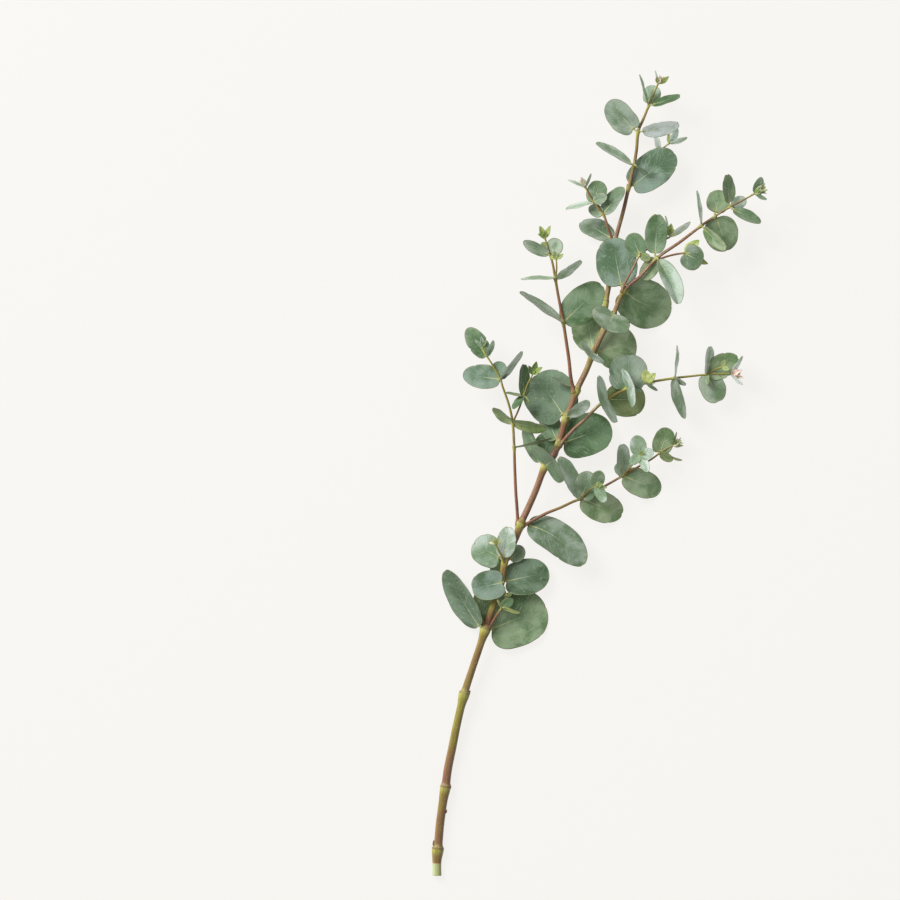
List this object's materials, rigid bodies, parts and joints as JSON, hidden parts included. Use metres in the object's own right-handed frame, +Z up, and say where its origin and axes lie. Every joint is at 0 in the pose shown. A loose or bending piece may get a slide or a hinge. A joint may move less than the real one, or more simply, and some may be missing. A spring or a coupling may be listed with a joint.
{
  "type": "eucalyptus branch",
  "caption": "Cut branch of juvenile round-leaved eucalyptus lying flat: woody forked stem with paired blue-green leaves and leafy side shoots, for floral and table decoration.",
  "frame": {"origin": "middle of the bounding box, on the surface the branch lies on", "axes": "+Y from the cut end towards the growing tips, +X to the branch's right seen from above, +Z up from the surface"},
  "size_m": [0.234, 0.5644, 0.0515],
  "materials": {
    "wood": "satin",
    "leaf": "matte",
    "deep_leaf": "matte",
    "pale_leaf": "matte",
    "shoot": "matte"
  },
  "bodies": {
    "root": {"main_stem": "wood", "leaf_d_left": "leaf", "leaf_d_right": "deep_leaf", "leaf_d_under": "deep_leaf", "leaf_e1_left": "leaf", "leaf_e1_right": "leaf", "leaf_e2_left": "leaf", "leaf_e2_top": "pale_leaf", "leaf_e2_right": "deep_leaf", "leaf_e2_under": "deep_leaf", "leaf_e_right": "leaf", "leaf_f_left": "leaf", "leaf_f_top": "leaf", "leaf_f_under": "deep_leaf", "leaf_f2_right": "deep_leaf", "leaf_f2_under": "deep_leaf", "leaf_f3_left": "leaf", "leaf_f3_top": "pale_leaf", "leaf_f4_left": "leaf", "leaf_g_top": "deep_leaf", "leaf_g_right": "deep_leaf", "leaf_g_left": "deep_leaf", "leaf_r1_top": "pale_leaf", "leaf_r2_up": "leaf", "leaf_r2_right": "deep_leaf", "leaf_r3_up": "leaf", "leaf_r3_top": "pale_leaf", "leaf_r3_under": "deep_leaf", "leaf_r4_up": "pale_leaf", "leaf_r4_down": "pale_leaf", "leaf_r5_down": "deep_leaf", "leaf_r5_up": "leaf", "leaf_r6_up": "leaf", "leaf_r6_right": "leaf", "leaf_r6_under": "leaf", "leaf_l1_left": "leaf", "leaf_l1_right": "deep_leaf", "leaf_l2_right": "leaf", "leaf_l2b_left": "pale_leaf", "leaf_l2b_right": "deep_leaf", "leaf_l3_left": "leaf", "leaf_l3_right": "pale_leaf", "leaf_l4_left": "pale_leaf", "leaf_l4_right": "deep_leaf", "leaf_l4_under": "leaf", "shoot_d": "shoot", "shoot_e2": "shoot", "shoot_e": "shoot", "shoot_f2": "shoot", "shoot_h": "shoot", "shoot_k": "shoot", "shoot_r2": "shoot", "shoot_r3": "shoot", "shoot_l1": "shoot", "shoot_l2": "shoot", "tip_left": "shoot", "tip_right": "shoot"}
  },
  "joints": []
}
